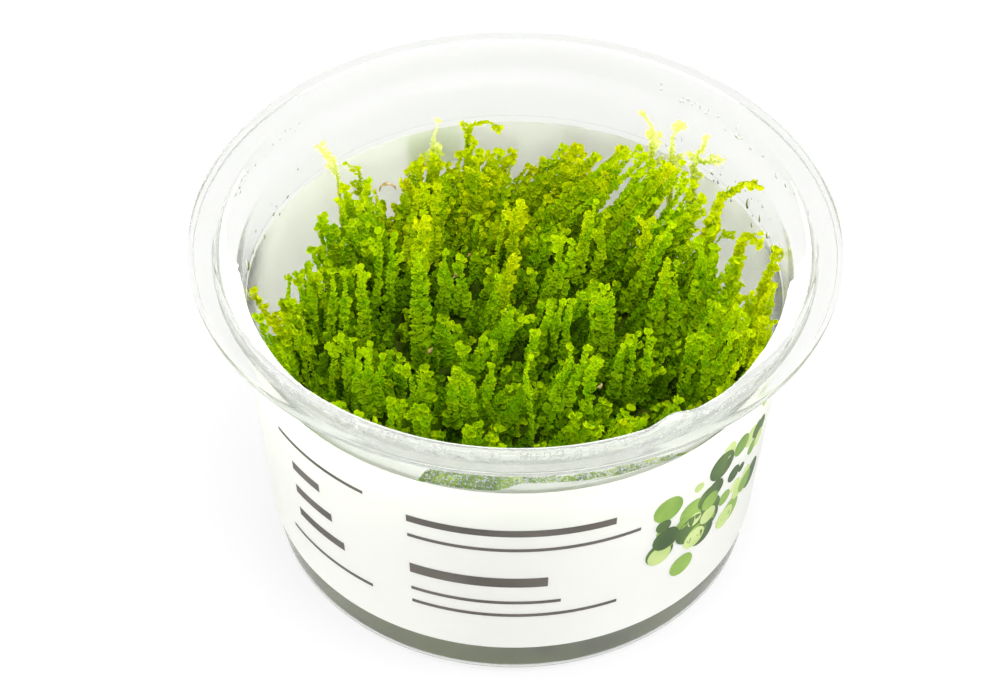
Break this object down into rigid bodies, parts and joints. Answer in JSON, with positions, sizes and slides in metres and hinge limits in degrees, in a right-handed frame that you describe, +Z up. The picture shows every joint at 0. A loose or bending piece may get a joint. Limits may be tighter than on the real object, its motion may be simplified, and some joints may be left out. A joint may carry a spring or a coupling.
{
  "type": "potted solenostoma tetragonum",
  "caption": "Aquarium moss of upright green shoots growing on clear gel in a flared see-through cup with a plain wrapped label.",
  "frame": {"origin": "middle of the cup's underside, on the surface it stands on", "axes": "+Z up along the cup's axis, -Y towards the front of the label, +X to the right of it"},
  "size_m": [0.1, 0.1, 0.058],
  "materials": {
    "cup_plastic": "gloss",
    "label_film": "satin",
    "clear_gel": "gloss",
    "moss_green": "satin",
    "shoot_green": "satin"
  },
  "bodies": {
    "root": {"cup": "cup_plastic", "label": "label_film", "agar_gel": "clear_gel", "moss_cushion": "moss_green", "shoot_back_left_tall": "shoot_green", "shoot_back_left_curl": "shoot_green", "shoot_back_thin": "shoot_green", "shoot_back_loop": "shoot_green", "shoot_back_right_inner": "shoot_green", "shoot_back_right_middle": "shoot_green", "shoot_back_right_fork": "shoot_green", "shoot_back_right_branch": "shoot_green", "shoot_right_leaning": "shoot_green", "shoot_right_arch": "shoot_green", "shoot_right_wall": "shoot_green", "shoot_left_wall": "shoot_green", "shoot_left_front": "shoot_green", "shoot_middle_left": "shoot_green", "shoot_middle_back": "shoot_green", "shoot_middle": "shoot_green", "shoot_middle_right": "shoot_green"}
  },
  "joints": []
}
